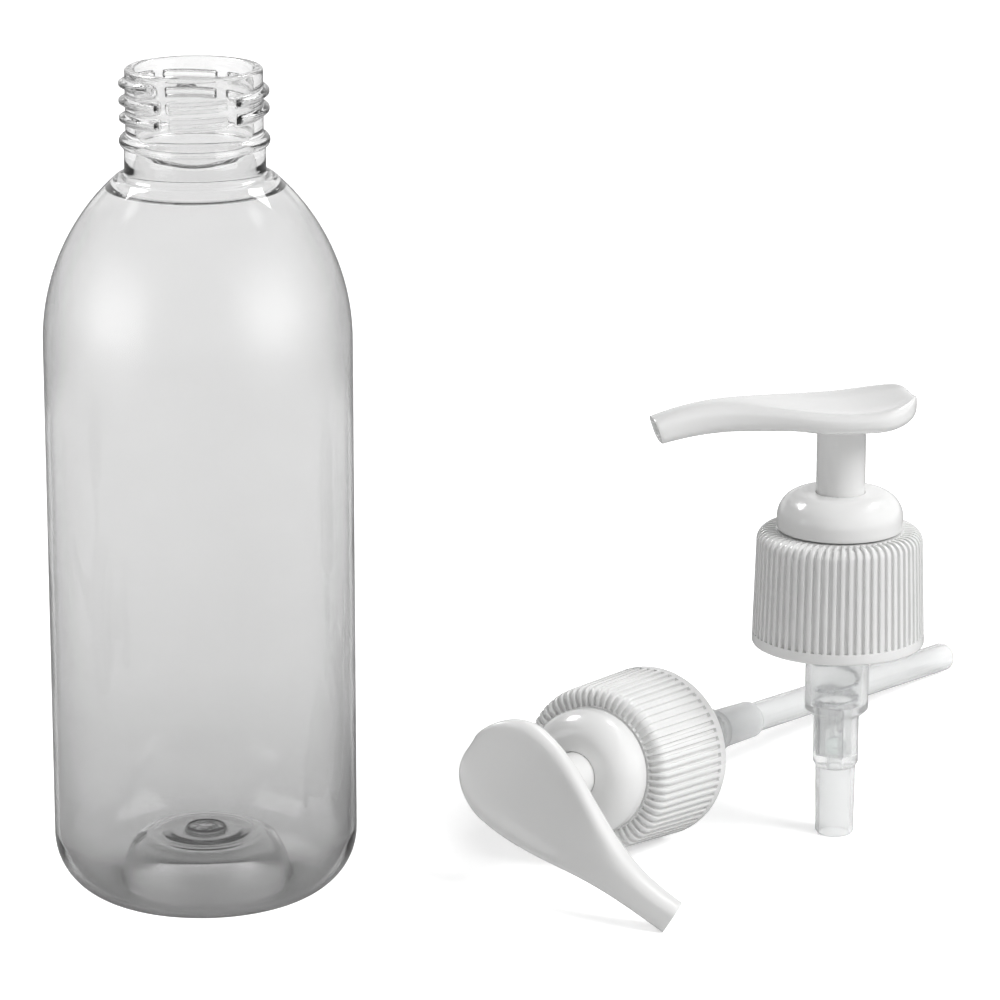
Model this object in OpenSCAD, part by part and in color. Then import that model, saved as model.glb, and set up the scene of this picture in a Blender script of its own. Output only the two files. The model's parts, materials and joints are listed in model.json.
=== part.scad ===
// Clear round bottle with a 28 mm neck, and the two lotion pumps that fit it.
// One pump stands on its tube socket, the other lies on its side with its dip tube fitted.
// Each pump is drawn upright about its own axis, with z = 0 where it seals on the bottle's rim.

/* [Bottle] */
// Height of the bottle, from the floor to the rim
bottle_h = 157; // [140:1:200]
// Diameter of the body
body_d = 57; // [54:1:68]
// Thickness of the blown wall
wall_t = 0.9; // [0.6:0.1:1.2]
// Radius of the long curve of the shoulder
shoulder_r = 41.2; // [38:0.2:48]
// Radius of the curve from the side down to the standing ring
heel_r = 11.5; // [7:0.5:14]
// Width of the flat ring that the bottle stands on
foot_w = 1.2; // [0.6:0.1:2]
// Height of the pushed-up middle of the base
pushup_h = 10.2; // [4:0.2:12]

/* [Neck] */
// Bore of the mouth
mouth_d = 21.8; // [20.6:0.2:22.4]
// Diameter of the neck where the thread sits
neck_d = 25.2; // [24.6:0.1:25.6]
// Diameter of the neck below the bead
neck_foot_d = 25.9; // [25:0.1:26.4]
// Height of the neck, from the rim to the crease at the shoulder
neck_h = 20; // [18:0.5:24]
// Diameter of the bead under the thread
bead_d = 27.6; // [27:0.1:28.4]
// Height of the bead's rounded section
bead_h = 2.5; // [1.6:0.1:3]
// Distance from the rim to the middle of the bead
bead_drop = 13.4; // [12:0.2:15]
// Radius of the hollow curve between the neck and the shoulder
crease_r = 1.7; // [1:0.1:2.4]
// Rounding of the rim's edges
rim_round = 0.4; // [0.2:0.1:0.6]

/* [Closure] */
// Diameter of the ribbed closure at the top
closure_d = 32; // [31:0.5:38]
// How far the skirt leans out over its height
skirt_lean = 0.65; // [0:0.05:1.2]
// Room between the closure's foot and the bottle's shoulder crease
shoulder_gap = 1.4; // [1:0.1:2.5]
// Room between the skirt and the bottle's bead
skirt_gap = 0.3; // [0.2:0.05:0.5]
// Thickness of the closure's top
closure_top_t = 1.5; // [1.2:0.1:2]
// Rounding of the closure's top edge
closure_round = 2.2; // [1.4:0.1:2.6]
// Bevel at the foot of the skirt
skirt_bevel = 0.6; // [0.3:0.1:1]
// Number of grooves round the skirt
groove_count = 64; // [36:1:72]
// Width of a groove
groove_w = 0.8; // [0.5:0.05:0.9]
// Depth of a groove
groove_depth = 0.45; // [0.3:0.05:0.6]
// Height of the plain band below the grooves
band_h = 1.6; // [1.2:0.1:3]

/* [Collar] */
// Diameter of the domed collar
collar_d = 24.3; // [23:0.1:25]
// Height of the collar
collar_h = 7.2; // [6.6:0.1:9]
// Rounding of the dome's edge
dome_r = 5; // [4:0.1:5.6]
// Dark gap between the closure and the collar
collar_gap = 0.3; // [0.2:0.05:0.5]
// Depth to which the collar snaps over the housing's neck
snap_h = 2.2; // [1.5:0.1:3]
// Thickness of the collar's walls
collar_wall = 1.3; // [1:0.1:1.6]

/* [Head] */
// Distance from the pump's axis to the tip of the nozzle
reach = 36.7; // [30:0.5:44]
// Distance from the pump's axis to the back of the finger pad
pad_back = 14.3; // [12:0.5:17]
// Width of the finger pad
pad_w = 22.6; // [18:0.2:26]
// Width of the nozzle at its tip
nozzle_w = 7; // [6:0.2:9]
// Height of the nozzle at its tip
nozzle_t = 5; // [4.4:0.1:5.6]
// Height of the arm between the nozzle and the pad
arm_t = 6.1; // [5.6:0.1:7]
// How far the top of the nozzle droops towards its tip
droop = 2.9; // [1.5:0.1:4]
// How far the rim of the pad rises towards the back
pad_lift = 2.4; // [1:0.1:3]
// Depth of the hollow in the pad
dish = 1.3; // [0.6:0.1:1.6]
// Slant of the nozzle's end face, in degrees
tip_slant = 19; // [5:1:28]
// Diameter of the product's way through the head
duct_d = 2.6; // [2:0.1:3]
// Diameter of the head's shank
shank_d = 9.4; // [8.8:0.1:9.6]
// Length of the shank below the head
shank_len = 21.4; // [18:0.2:26]
// Height of the head's underside above the collar, at rest
head_rise = 12.9; // [12.6:0.1:18]

/* [Pump] */
// Travel of the head
stroke = 12; // [8:0.5:12.5]
// Thickness of the gasket
gasket_t = 1; // [0.8:0.1:1.6]
// Thickness of the housing's flange
flange_t = 1.5; // [1.2:0.1:2.2]
// Outer diameter of the housing's neck
housing_neck_d = 16; // [14.5:0.1:16.4]
// Outer diameter of the barrel
barrel_d = 12.3; // [12:0.1:13]
// Bore of the barrel
bore_d = 10; // [9.9:0.05:10.4]
// Distance from the sealing plane down to the piston, at rest
piston_drop = 7.4; // [7:0.2:12]
// Length of the piston
piston_len = 6; // [5:0.1:8]
// Outer diameter of the stem
stem_d = 6.4; // [6:0.1:6.6]
// Bore of the stem
stem_bore_d = 3.2; // [2.4:0.1:3.6]
// Length of stem held in the shank
stem_grip = 12; // [8:0.2:15]
// Thickness of the poppet's flange
poppet_t = 1.5; // [1.2:0.1:2]
// Thickness of the spring's wire
wire_d = 0.8; // [0.5:0.05:0.9]
// Turns of the spring
turns = 5; // [4:1:6]
// Outer diameter of the valve section
valve_d = 8.8; // [8.4:0.1:9.2]
// Length of the valve section
valve_len = 10.8; // [10:0.2:14]
// Bore of the valve section
valve_bore_d = 6.4; // [6:0.1:6.6]
// Diameter of the valve's ball
ball_d = 4; // [3.6:0.1:4.2]
// Travel of the ball
ball_lift = 1.5; // [1:0.1:2]
// Diameter of the hole that the ball closes
seat_d = 2.6; // [2:0.1:2.8]
// Thickness of the wall that holds the seat
seat_t = 2.4; // [2:0.1:3]

/* [Dip tube] */
// Outer diameter of the tube
tube_d = 6; // [5.4:0.1:6.2]
// Thickness of the tube's wall
tube_wall = 0.8; // [0.5:0.1:1]
// Outer diameter of the socket that takes the tube
socket_d = 7.8; // [7.6:0.1:8.2]
// Length of the socket
socket_len = 13.8; // [10:0.2:18]
// Room between the tube's end and the bottom of the bottle
tube_gap = 2.2; // [1:0.1:6]

/* [Fits] */
// Radial clearance of a running fit, piston in barrel and piston on stem
slide_fit = 0.05; // [0.02:0.01:0.09]
// Radial clearance of what turns by hand, shank in collar and closure on housing
turn_fit = 0.1; // [0.05:0.01:0.2]
// Radial clearance of what is pushed together
push_fit = 0.02; // [0.01:0.01:0.03]

/* [Display] */
// Standing pump, distance to the right of the bottle's axis
stand_x = 121; // [118:1:180]
// Standing pump, distance behind the bottle's axis
stand_y = 30; // [0:1:60]
// Standing pump, turn of its nozzle towards the front, in degrees
stand_turn = 14; // [0:1:45]
// Lying pump, distance of its closure to the left of the standing pump's axis
lie_offset = 36; // [34:1:50]
// Lying pump, direction of its tube from the X axis, in degrees
lie_turn = 58; // [50:1:66]

/* [Hidden] */
$fn = 72;

// A cutting tool stands this far proud of what it cuts
over = 1;
// Play along the axis between faces that slide on each other
play = 0.05;

// Bottle
body_r = body_d / 2;
foot_r = body_r - heel_r;
crease_z = bottle_h - neck_h;
shoulder_start_r = neck_foot_d / 2 + crease_r;
shoulder_cx = body_r - shoulder_r;
side_top_z = crease_z - sqrt(pow(shoulder_r, 2) - pow(shoulder_start_r - shoulder_cx, 2));
mouth_r = mouth_d / 2;
bead_z = bottle_h - bead_drop;

// Pump, heights above the sealing plane
flange_r = neck_d / 2 - 0.3;
flange_z = gasket_t;
closure_in_z = flange_z + flange_t + play;
closure_top_z = closure_in_z + closure_top_t;
collar_z = closure_top_z + collar_gap;
collar_top_z = collar_z + collar_h;
housing_top_z = collar_z + snap_h;
head_z = collar_top_z + head_rise;
shank_end_z = head_z - shank_len;
stem_top_z = shank_end_z + stem_grip;
piston_end_z = -piston_drop - piston_len;
stem_end_z = piston_end_z - play;
poppet_end_z = stem_end_z - poppet_t;
spring_h = stroke + turns * wire_d;
spring_r = bore_d / 2 - wire_d / 2 - 0.5;
bore_end_z = poppet_end_z - spring_h;
barrel_end_z = bore_end_z - 2;
valve_end_z = barrel_end_z - valve_len;
seat_z = valve_end_z + seat_t;
socket_end_z = valve_end_z - socket_len;
tube_end_z = -(bottle_h - pushup_h - wall_t - tube_gap);

// Head, measured from the pump's axis and up from the head's underside:
// the pad's middle, where its back starts to round off, where the arm starts to droop
pad_x = 0.3 * pad_back;
back_x = 0.75 * pad_back;
arm_x = -0.55 * reach;
end_z = 0.55 * arm_t;

// Closure
skirt_bottom_z = -(neck_h - shoulder_gap);
skirt_in_r = bead_d / 2 + skirt_gap;
skirt_top_r = closure_d / 2;
skirt_foot_r = skirt_top_r + skirt_lean;
neck_hole_r = housing_neck_d / 2 + turn_fit;

// Ball valve
ball_r = ball_d / 2;
ball_z = seat_z + sqrt(pow(ball_r, 2) - pow(seat_d / 2, 2)) + 0.02;
cage_count = 4;
cage_w = 0.8;

// Lying pump: it rests on the closure's foot, the end of the tube and the nozzle's tip
foot_edge_z = skirt_bottom_z + skirt_bevel;
lie_tilt = atan((skirt_foot_r - tube_d / 2) / (foot_edge_z - tube_end_z));
tip_z = head_z + rim_z(-reach) - nozzle_t / 2;
tip_arm = norm([reach, nozzle_w / 2]);
tip_drop = skirt_foot_r + (tip_z - foot_edge_z) * tan(lie_tilt) - 0.1;
lie_roll = atan(nozzle_w / 2 / reach) + acos(tip_drop / tip_arm);

// Points on an arc about [cx, cy], from angle a to angle b in n steps
function arc(cx, cy, r, a, b, n) =
    [for (i = [0:n]) let (t = a + (b - a) * i / n) [cx + r * cos(t), cy + r * sin(t)]];

// 0 below a, 1 above b, and a smooth rise between them
function ease(x, a, b) =
    let (u = min(1, max(0, (x - a) / (b - a)))) u * u * (3 - 2 * u);

// ---------------------------------------------------------------- bottle

// Pushed-up base as points from the middle to its rim: nearly level, then down steeply to the foot
function pushup(rim_r, z) =
    [for (i = [0:10]) let (r = rim_r * sqrt(i / 10)) [r, z + pushup_h * (1 - pow(r / rim_r, 5))]];

// Outside of the bottle, from the middle of the base up to the rim
function bottle_outside() = concat(
    pushup(foot_r - foot_w, 0),
    arc(foot_r, heel_r, heel_r, -90, 0, 10),
    arc(shoulder_cx, side_top_z, shoulder_r, 0,
        acos((shoulder_start_r - shoulder_cx) / shoulder_r), 14),
    arc(shoulder_start_r, crease_z + crease_r, crease_r, -90, -180, 4),
    arc(bead_d / 2 - bead_h / 2, bead_z, bead_h / 2, -60, 60, 8),
    [[neck_d / 2, bead_z + bead_h / 2 + 0.4], [neck_d / 2, bottle_h - rim_round]],
    [[neck_d / 2 - rim_round, bottle_h]]
);

// Inside of the bottle, from the rim down to the middle of the base
in_shoulder_r = shoulder_r - wall_t;
base_inside = pushup(foot_r - foot_w / 2, wall_t);
function bottle_inside() = concat(
    [[mouth_r + rim_round, bottle_h], [mouth_r, bottle_h - rim_round]],
    arc(shoulder_cx, side_top_z, in_shoulder_r, acos((mouth_r - shoulder_cx) / in_shoulder_r), 0, 14),
    arc(foot_r, heel_r, heel_r - wall_t, 0, -90, 10),
    [for (i = [10:-1:0]) base_inside[i]]
);

module bottle() {
    color([0.80, 0.82, 0.83, 0.45])
        rotate_extrude() polygon(concat(bottle_outside(), bottle_inside()));
}

// ---------------------------------------------------------------- housing

// Barrel, valve section and tube socket in one moulding, with the flange that sits on the gasket
module housing() {
    color([0.88, 0.90, 0.90])
    difference() {
        union() {
            rotate_extrude() polygon([
                [0, housing_top_z], [housing_neck_d / 2, housing_top_z],
                [housing_neck_d / 2, flange_z + flange_t], [flange_r, flange_z + flange_t],
                [flange_r, flange_z], [barrel_d / 2, flange_z],
                [barrel_d / 2, barrel_end_z + 1], [barrel_d / 2 - 1, barrel_end_z],
                [valve_d / 2, barrel_end_z], [valve_d / 2, valve_end_z + 1],
                [socket_d / 2, valve_end_z], [socket_d / 2 - 0.2, socket_end_z + 0.5],
                [socket_d / 2 - 0.5, socket_end_z], [0, socket_end_z]
            ]);
        }
        translate([0, 0, bore_end_z]) cylinder(d = bore_d, h = housing_top_z - bore_end_z + over);
        difference() {
            translate([0, 0, seat_z]) cylinder(d = valve_bore_d, h = bore_end_z - seat_z + over);
            for (i = [0:cage_count - 1]) rotate(360 / cage_count * i) ball_cage_rib();
        }
        translate([0, 0, valve_end_z - over]) cylinder(d = seat_d, h = seat_t + 2 * over);
        translate([0, 0, socket_end_z - over])
            cylinder(r = tube_d / 2 + push_fit, h = socket_len + over);
    }
}

// Rib that guides the ball, with a hook above that stops it
module ball_cage_rib() {
    stop_z = ball_z + ball_r + ball_lift;
    translate([0, -cage_w / 2, seat_z - over]) {
        translate([ball_r + 0.15, 0, 0])
            cube([valve_bore_d / 2, cage_w, bore_end_z - 0.6 - seat_z + over]);
        translate([ball_r - 0.7, 0, stop_z - seat_z + over])
            cube([1.5, cage_w, bore_end_z - 0.6 - stop_z]);
    }
}

module gasket() {
    color([0.80, 0.81, 0.80])
    difference() {
        cylinder(r = flange_r, h = gasket_t);
        translate([0, 0, -over]) cylinder(r = barrel_d / 2 + turn_fit, h = gasket_t + 2 * over);
    }
}

// ---------------------------------------------------------------- closure

// Outside of the closure, from the foot of the skirt up to the middle of the top
function closure_outside() = concat(
    [[skirt_foot_r - skirt_bevel, skirt_bottom_z], [skirt_foot_r, foot_edge_z]],
    arc(skirt_top_r - closure_round, closure_top_z - closure_round, closure_round, 0, 90, 6)
);

// One groove: the band under the outside of the closure, up the skirt and over the top edge
module groove() {
    rotate([90, 0, 0])
    linear_extrude(height = groove_w, center = true)
        polygon(concat(
            [
                [skirt_foot_r + over, foot_edge_z + band_h],
                [skirt_foot_r - groove_depth, foot_edge_z + band_h + 0.3]
            ],
            arc(skirt_top_r - closure_round, closure_top_z - closure_round,
                closure_round - groove_depth, 0, 90, 4),
            [
                [collar_d / 2 + 0.2, closure_top_z - groove_depth],
                [collar_d / 2 - 0.2, closure_top_z + over],
                [skirt_foot_r + over, closure_top_z + over]
            ]
        ));
}

module closure() {
    color([0.95, 0.95, 0.94])
    difference() {
        rotate_extrude() polygon(concat(
            closure_outside(),
            [
                [neck_hole_r, closure_top_z], [neck_hole_r, closure_in_z],
                [skirt_in_r - 0.6, closure_in_z], [skirt_in_r, closure_in_z - 0.6],
                [skirt_in_r, skirt_bottom_z + 0.4], [skirt_in_r + 0.4, skirt_bottom_z]
            ]
        ));
        for (i = [0:groove_count - 1]) rotate(360 / groove_count * i) groove();
    }
}

// ---------------------------------------------------------------- collar

// Domed collar that snaps on the housing's neck and guides the shank
module collar() {
    hole_r = shank_d / 2 + turn_fit;
    snap_r = housing_neck_d / 2 + push_fit;
    dome_z = collar_top_z - dome_r;
    color([0.94, 0.94, 0.93])
    difference() {
        rotate_extrude() polygon(concat(
            [[hole_r, collar_z], [collar_d / 2, collar_z]],
            arc(collar_d / 2 - dome_r, dome_z, dome_r, 0, 90, 8),
            [[hole_r + 0.5, collar_top_z], [hole_r, collar_top_z - 0.5]]
        ));
        translate([0, 0, collar_z - over]) cylinder(r = snap_r, h = snap_h + over);
        // hollow between the snap ring and the dome
        rotate_extrude() polygon([
            [snap_r + collar_wall, collar_z - over], [collar_d / 2 - collar_wall, collar_z - over],
            [collar_d / 2 - collar_wall, dome_z],
            [snap_r + collar_wall, dome_z + 0.5]
        ]);
    }
}

// ---------------------------------------------------------------- head

// Half the width of the head at x: a slim arm that swells into a round pad
function half_w(x) = x > pad_x
    ? pad_w / 2 * sqrt(max(0, 1 - pow((x - pad_x) / (pad_back - pad_x), 2)))
    : nozzle_w / 2 + (pad_w - nozzle_w) / 2
        * pow((1 - cos(180 * (x + reach) / (pad_x + reach))) / 2, 1.4);

// Height of the head's rim at x: it droops at the nozzle, dips over the shank and rises at the back
function rim_z(x) = arm_t + 0.6
    - (x < arm_x ? droop * pow((arm_x - x) / (reach + arm_x), 2) : 0)
    - 1.1 * ease(x, arm_x, 0.1 * pad_back)
    + (x > 0 ? pad_lift * pow(x / pad_back, 2) : 0);

// Height of the head's underside at x
function under_z(x) = 0.6
    - (x < arm_x ? (droop - arm_t + nozzle_t) * pow((arm_x - x) / (reach + arm_x), 2) : 0)
    - 0.6 * ease(x, -12, -shank_d / 2)
    + (x > shank_d / 2 ? 2.2 * pow((x - shank_d / 2) / (pad_back - shank_d / 2), 2) : 0);

// How much of its height the head has left at x, as its back end rounds off
function end_round(x) = x > back_x
    ? pow(max(0, 1 - pow((x - back_x) / (pad_back - back_x), 3)), 1 / 3) : 1;

// Section of the head at x, as points round a superellipse with a hollowed top
section_n = 24;
function head_section(x) =
    let (
        w = half_w(x),
        top = end_z + (rim_z(x) - end_z) * end_round(x),
        bottom = end_z - (end_z - under_z(x)) * end_round(x),
        middle = (top + bottom) / 2,
        half = (top - bottom) / 2,
        hollow = dish * ease(x, -0.8 * reach, -0.1 * reach) * end_round(x),
        power = 2 / (4 - 1.1 * ease(x, -reach, 0)),
        slant = tan(tip_slant) * (1 - ease(x, -reach, arm_x))
    )
    [for (i = [0:section_n - 1])
        let (
            a = 360 * i / section_n,
            y = w * sign(cos(a)) * pow(abs(cos(a)), power),
            s = sign(sin(a)) * pow(abs(sin(a)), power),
            k = w > 0 ? pow(1 - pow(y / w, 2), 2) : 0,
            z = middle + half * s - (s > 0 ? hollow * k * s : 0)
        )
        [x - (z - middle) * slant, y, z]
    ];

// Skin over a row of sections with the same number of points, each listed anticlockwise
// as seen from the next section
module loft(sections) {
    n = len(sections[0]);
    last = len(sections) - 1;
    polyhedron(
        points = [for (s = sections) each s],
        faces = concat(
            [[for (i = [0:n - 1]) i]],
            [for (k = [0:last - 1]) for (i = [0:n - 1])
                let (a = k * n + i, b = k * n + (i + 1) % n) [a, a + n, b + n, b]],
            [[for (i = [n - 1:-1:0]) last * n + i]]
        ),
        convexity = 4
    );
}

// Head: nozzle, arm and finger pad in one sweep, on the shank that slides in the collar
module actuator() {
    stations = 22;
    tip = [-reach, 0, head_z + (rim_z(-reach) + under_z(-reach)) / 2];
    bend = [arm_x, 0, head_z + (rim_z(arm_x) + under_z(arm_x)) / 2];
    duct_top = [0, 0, head_z + under_z(0) + duct_d / 2 + 1];
    color([0.95, 0.95, 0.94])
    difference() {
        union() {
            translate([0, 0, head_z])
                loft([for (i = [0:stations])
                    head_section(-reach + (reach + pad_back) * sin(89 * i / stations))]);
            translate([0, 0, shank_end_z]) cylinder(d = shank_d, h = shank_len + under_z(0) + 1.5);
        }
        // way up the shank, wide where the stem is pushed in
        translate([0, 0, shank_end_z - over])
            cylinder(r = stem_d / 2 + push_fit, h = stem_grip + over);
        translate([0, 0, shank_end_z])
            cylinder(d = duct_d + 0.4, h = duct_top[2] + duct_d / 2 - shank_end_z);
        // way along the arm and out of the nozzle
        duct(duct_top, bend, duct_d);
        duct(bend, tip, duct_d - 0.2);
        translate(tip) rotate([0, -90 - tip_slant, 0])
            translate([0, 0, -1.2]) linear_extrude(height = 4)
                square([nozzle_t - 2.2, nozzle_w - 2.4], center = true);
    }
}

// Straight round way from p to q, run on a little past both
module duct(p, q, d) {
    along = q - p;
    translate(p) rotate([0, acos(along[2] / norm(along)), atan2(along[1], along[0])])
        translate([0, 0, -d / 4]) cylinder(d = d, h = norm(along) + d / 2);
}

// ---------------------------------------------------------------- pump's moving parts

module stem() {
    color([0.93, 0.93, 0.91])
    difference() {
        translate([0, 0, stem_end_z]) cylinder(d = stem_d, h = stem_top_z - stem_end_z);
        translate([0, 0, stem_end_z - over])
            cylinder(d = stem_bore_d, h = stem_top_z - stem_end_z + 2 * over);
    }
}

// Piston with a sealing lip at each end and a waist between them
module piston() {
    lip_r = bore_d / 2 - slide_fit;
    waist_r = lip_r - 0.7;
    color([0.85, 0.88, 0.90])
    rotate_extrude() polygon([
        [stem_d / 2 + slide_fit, piston_end_z], [waist_r, piston_end_z], [lip_r, piston_end_z + 0.7],
        [lip_r, piston_end_z + 1.4], [waist_r, piston_end_z + 2.1],
        [waist_r, -piston_drop - 2.1], [lip_r, -piston_drop - 1.4],
        [lip_r, -piston_drop - 0.7], [waist_r, -piston_drop], [stem_d / 2 + slide_fit, -piston_drop]
    ]);
}

// Plug in the stem's foot, with the flange that the spring pushes on
module poppet() {
    spigot_r = stem_bore_d / 2 - push_fit;
    nose_r = spring_r - wire_d / 2 - 0.5;
    color([0.93, 0.93, 0.91])
    rotate_extrude() polygon([
        [0, stem_end_z + 4], [spigot_r - 0.4, stem_end_z + 4], [spigot_r, stem_end_z + 3.2],
        [spigot_r, stem_end_z], [spring_r + wire_d / 2, stem_end_z],
        [spring_r + wire_d / 2, poppet_end_z], [nose_r, poppet_end_z],
        [nose_r - 0.8, poppet_end_z - 1], [0, poppet_end_z - 1]
    ]);
}

// Spring between the poppet's flange and the floor of the barrel, with closed ends
module spring() {
    steps = 24;
    sides = 8;
    wire = wire_d / 2 - 0.005;
    dead = 0.6;
    free = spring_h - wire_d;
    color([0.70, 0.71, 0.72])
    loft([for (k = [0:turns * steps])
        let (
            turn = k / steps,
            rise = min(1, max(0, (turn - dead) / (turns - 2 * dead))),
            z = bore_end_z + wire_d / 2 + free * rise
        )
        [for (i = [0:sides - 1])
            let (a = -360 * i / sides, r = spring_r + wire * cos(a))
            [r * cos(360 * turn), r * sin(360 * turn), z + wire * sin(a)]]
    ]);
}

module ball() {
    color([0.75, 0.76, 0.78]) translate([0, 0, ball_z]) sphere(d = ball_d);
}

module dip_tube() {
    top_z = valve_end_z - 0.3;
    color([0.93, 0.94, 0.94])
    difference() {
        translate([0, 0, tube_end_z]) cylinder(d = tube_d, h = top_z - tube_end_z);
        translate([0, 0, tube_end_z - over])
            cylinder(r = tube_d / 2 - tube_wall, h = top_z - tube_end_z + 2 * over);
    }
}

// ---------------------------------------------------------------- places

module standing() {
    translate([stand_x, stand_y, -socket_end_z]) rotate(stand_turn) children();
}

module lying() {
    translate([stand_x - lie_offset, stand_y, skirt_foot_r * cos(lie_tilt)])
        rotate([0, lie_tilt - 90, lie_turn]) rotate([0, 0, lie_roll])
            translate([0, 0, -foot_edge_z]) children();
}

bottle();
standing() housing();  // housing_a
standing() gasket();  // gasket_a
standing() closure();  // closure_a
standing() collar();  // collar_a
standing() actuator();  // actuator_a
standing() stem();  // stem_a
standing() piston();  // piston_a
standing() poppet();  // poppet_a
standing() spring();  // spring_a
standing() ball();  // ball_a
lying() housing();  // housing_b
lying() gasket();  // gasket_b
lying() closure();  // closure_b
lying() collar();  // collar_b
lying() actuator();  // actuator_b
lying() stem();  // stem_b
lying() piston();  // piston_b
lying() poppet();  // poppet_b
lying() spring();  // spring_b
lying() ball();  // ball_b
lying() dip_tube();  // dip_tube_b
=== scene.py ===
"""A clear round bottle with two lotion pumps that fit its neck, one stood up and one laid down."""
import json
import math

import bmesh
import bpy
import numpy as np
from mathutils import Matrix, Vector


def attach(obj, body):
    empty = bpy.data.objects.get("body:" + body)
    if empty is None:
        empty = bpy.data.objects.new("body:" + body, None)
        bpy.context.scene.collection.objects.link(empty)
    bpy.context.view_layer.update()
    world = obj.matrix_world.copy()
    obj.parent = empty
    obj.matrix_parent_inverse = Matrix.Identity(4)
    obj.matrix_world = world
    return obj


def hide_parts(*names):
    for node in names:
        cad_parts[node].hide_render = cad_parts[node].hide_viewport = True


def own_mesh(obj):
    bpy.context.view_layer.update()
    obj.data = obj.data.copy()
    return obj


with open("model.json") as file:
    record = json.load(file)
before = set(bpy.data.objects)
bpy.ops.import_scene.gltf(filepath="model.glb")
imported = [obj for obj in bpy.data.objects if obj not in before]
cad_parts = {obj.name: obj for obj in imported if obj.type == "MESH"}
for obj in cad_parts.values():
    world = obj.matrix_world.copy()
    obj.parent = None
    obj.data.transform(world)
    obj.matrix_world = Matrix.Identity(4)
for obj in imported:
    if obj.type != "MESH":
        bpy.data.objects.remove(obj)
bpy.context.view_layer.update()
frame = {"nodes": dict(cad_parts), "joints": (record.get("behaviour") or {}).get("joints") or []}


# ------------------------------------------------------------------ bottle
# Stretch-blown PET with a faint grey tint, open at the top. The neck is moulded first, so its
# thread, bead and bore are crisp; the body is blown out below it and its base is pushed up, so
# that it stands on a narrow ring. Four vents break the thread, where the mould parts.

mm = 0.001
rim_z = 157.0
body_r, heel_r, foot_w, wall = 28.5, 11.5, 1.2, 0.9
foot_r, in_foot_r, pushup_h, in_heel_z = body_r - heel_r, body_r - heel_r - foot_w, 10.2, 12.4
neck_r, neck_foot_r, mouth_r = 12.6, 12.95, 10.9
bead_r, bead_h, bead_z = 13.8, 2.5, rim_z - 13.4
shoulder_r, crease_r, crease_z = 41.2, 1.7, rim_z - 20.0
shoulder_cx, shoulder_start = body_r - shoulder_r, neck_foot_r + crease_r
side_top = crease_z - math.sqrt(shoulder_r ** 2 - (shoulder_start - shoulder_cx) ** 2)
pushup_power, gate_r, crease_turn = 9, 3.45, 46.0
thick_extra, thick_to, thin_from = 0.9, 15.9, 16.6
gate_thick, gate_thick_r = 0.8, 6


def arc(cx, cz, radius, first, last, steps):
    """Points along an arc, its angles in degrees."""
    return [(cx + radius * math.cos(t), cz + radius * math.sin(t))
            for t in np.radians(np.linspace(first, last, steps + 1))]


def straight(a, b, steps):
    """Points from a to b, both ends included."""
    return [(a[0] + (b[0] - a[0]) * i / steps, a[1] + (b[1] - a[1]) * i / steps)
            for i in range(steps + 1)]


def angle_at(radius, x):
    """Angle on the shoulder's arc at the distance x from the bottle's axis."""
    return math.degrees(math.acos((x - shoulder_cx) / radius))


def pushup(rim_r, z, steps):
    """Points of the pushed-up base, from its nearly level middle down to its rim at the foot. They
    are closest round the gate."""
    spots = np.concatenate((np.linspace(0.2, 2.8, 8), np.linspace(3.0, 4.0, 11),
                            np.linspace(4.3, 0.965 * rim_r, steps)))
    dome = [(r, z + pushup_h * (1 - (r / rim_r) ** pushup_power)) for r in spots]
    (r, z_at), end = dome[-1], rim_r + 0.5
    bend = [(r * (1 - t) ** 2 + 2 * t * (1 - t) * rim_r + end * t ** 2, (z_at - z) * (1 - t) ** 2 + z)
            for t in np.linspace(0.2, 1, 5)]
    return dome + bend


def neck_wall(r):
    """Thickness of the shoulder: thick by the neck, which isn't blown, then suddenly thin."""
    return wall + thick_extra * (1 - float(smooth(r, thick_to, thin_from)))


def smooth(x, low, high):
    """0 below low, 1 above high, and a smooth rise between them."""
    t = np.clip((x - low) / (high - low), 0, 1)
    return t * t * (3 - 2 * t)


thread_rows = straight((neck_r, bead_z + bead_h / 2 + 0.5), (neck_r, rim_z - 0.8), 62)
base_rows = pushup(in_foot_r, 0.0, 66)
in_shoulder = []
turns = (np.linspace(crease_turn, 45.0, 4)[:-1], np.linspace(45.0, 42.8, 16)[:-1], np.linspace(42.8, 0.0, 26))
for t in np.radians(np.concatenate(turns)):
    at_r = shoulder_r - neck_wall(shoulder_cx + shoulder_r * math.cos(t))
    in_shoulder.append((shoulder_cx + at_r * math.cos(t), side_top + at_r * math.sin(t)))
bend_r, bend_z = in_shoulder[0]
bend_top = bend_z + (bend_r - mouth_r) / math.tan(math.radians(crease_turn))
bore_end = bend_top + 3.0
in_bend = [(mouth_r * (1 - t) ** 2 + 2 * t * (1 - t) * mouth_r + bend_r * t ** 2,
            bore_end * (1 - t) ** 2 + 2 * t * (1 - t) * bend_top + bend_z * t ** 2)
           for t in np.linspace(0, 1, 12)[:-1]]
in_heel = [(foot_r + (heel_r - wall) * math.cos(t), in_heel_z + (in_heel_z - wall) * math.sin(t))
           for t in np.radians(np.linspace(0, -88, 28))]
in_base_rows = [(r, z + gate_thick * math.exp(-(r / gate_thick_r) ** 2))
                for r, z in reversed(pushup(foot_r - foot_w / 2, wall, 26)[:-1])]
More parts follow.
